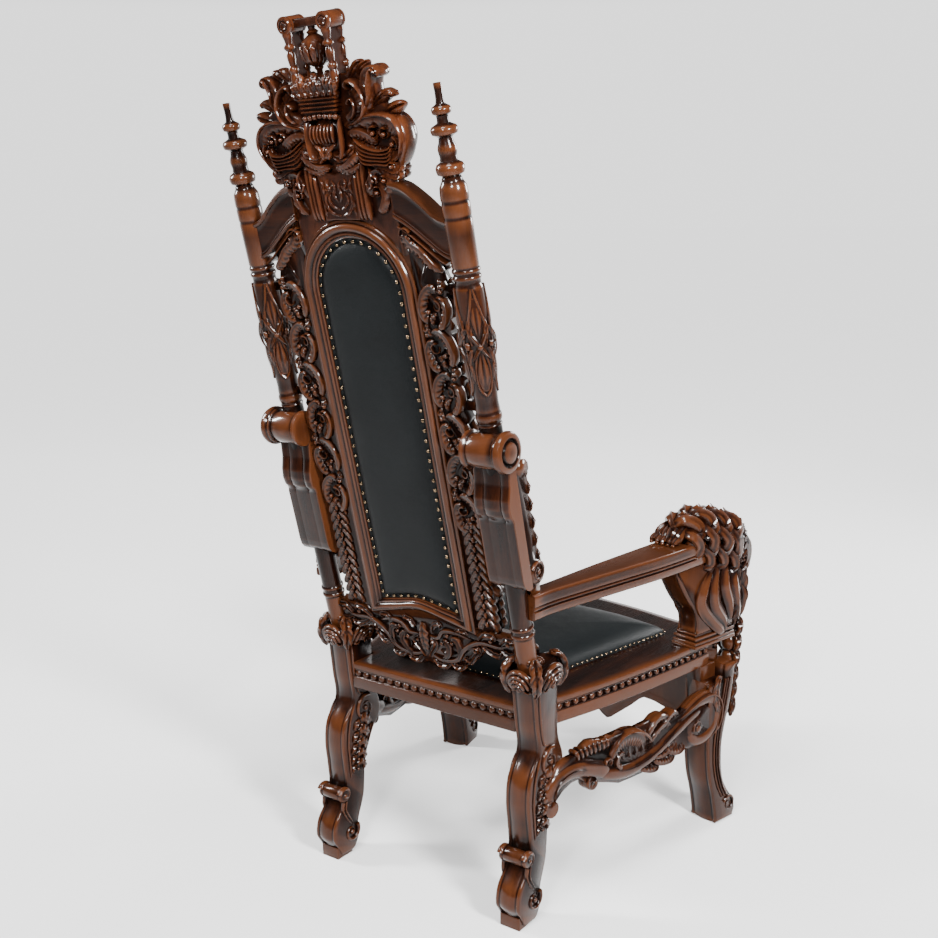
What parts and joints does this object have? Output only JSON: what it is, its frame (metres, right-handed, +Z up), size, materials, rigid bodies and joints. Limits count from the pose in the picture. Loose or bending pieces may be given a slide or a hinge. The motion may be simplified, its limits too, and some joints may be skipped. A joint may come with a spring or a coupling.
{
  "type": "throne",
  "caption": "Tall carved mahogany throne with reclined arched back, lion arm posts, pierced borders and black leather pads.",
  "frame": {"origin": "middle of the plan box, on the floor", "axes": "+Z up, -Y the way a seated person faces, +X to the seated person's left"},
  "size_m": [0.9002, 1.0597, 1.8658],
  "materials": {
    "polished_mahogany": "dark red-brown mahogany with straight grain under a glossy lacquer",
    "carved_mahogany": "carved mahogany, stained darker in the recesses, glossy on the raised edges",
    "black_leather": "black leather with a fine grain and a soft sheen",
    "nailhead_bronze": "small domed nailheads of dark bronze"
  },
  "bodies": {
    "root": {"rear_leg_right": "carved_mahogany", "rear_leg_left": "carved_mahogany", "back_post_right": "polished_mahogany", "back_post_left": "polished_mahogany", "arm_scroll_right": "carved_mahogany", "arm_scroll_left": "carved_mahogany", "crest_rail_right": "polished_mahogany", "crest_rail_left": "polished_mahogany", "fretwork_right": "carved_mahogany", "fretwork_left": "carved_mahogany", "side_rail_right": "polished_mahogany", "side_rail_left": "polished_mahogany", "arm_right": "polished_mahogany", "arm_left": "polished_mahogany", "lion_post_right": "carved_mahogany", "lion_post_left": "carved_mahogany", "front_leg_right": "carved_mahogany", "front_leg_left": "carved_mahogany", "side_stretcher_right": "carved_mahogany", "side_stretcher_left": "carved_mahogany", "back_frame": "polished_mahogany", "back_panel": "black_leather", "crest": "carved_mahogany", "back_apron": "carved_mahogany", "seat_board": "polished_mahogany", "rear_rail": "polished_mahogany", "front_rail": "polished_mahogany", "seat_cushion": "black_leather", "front_apron": "carved_mahogany"}
  },
  "joints": []
}
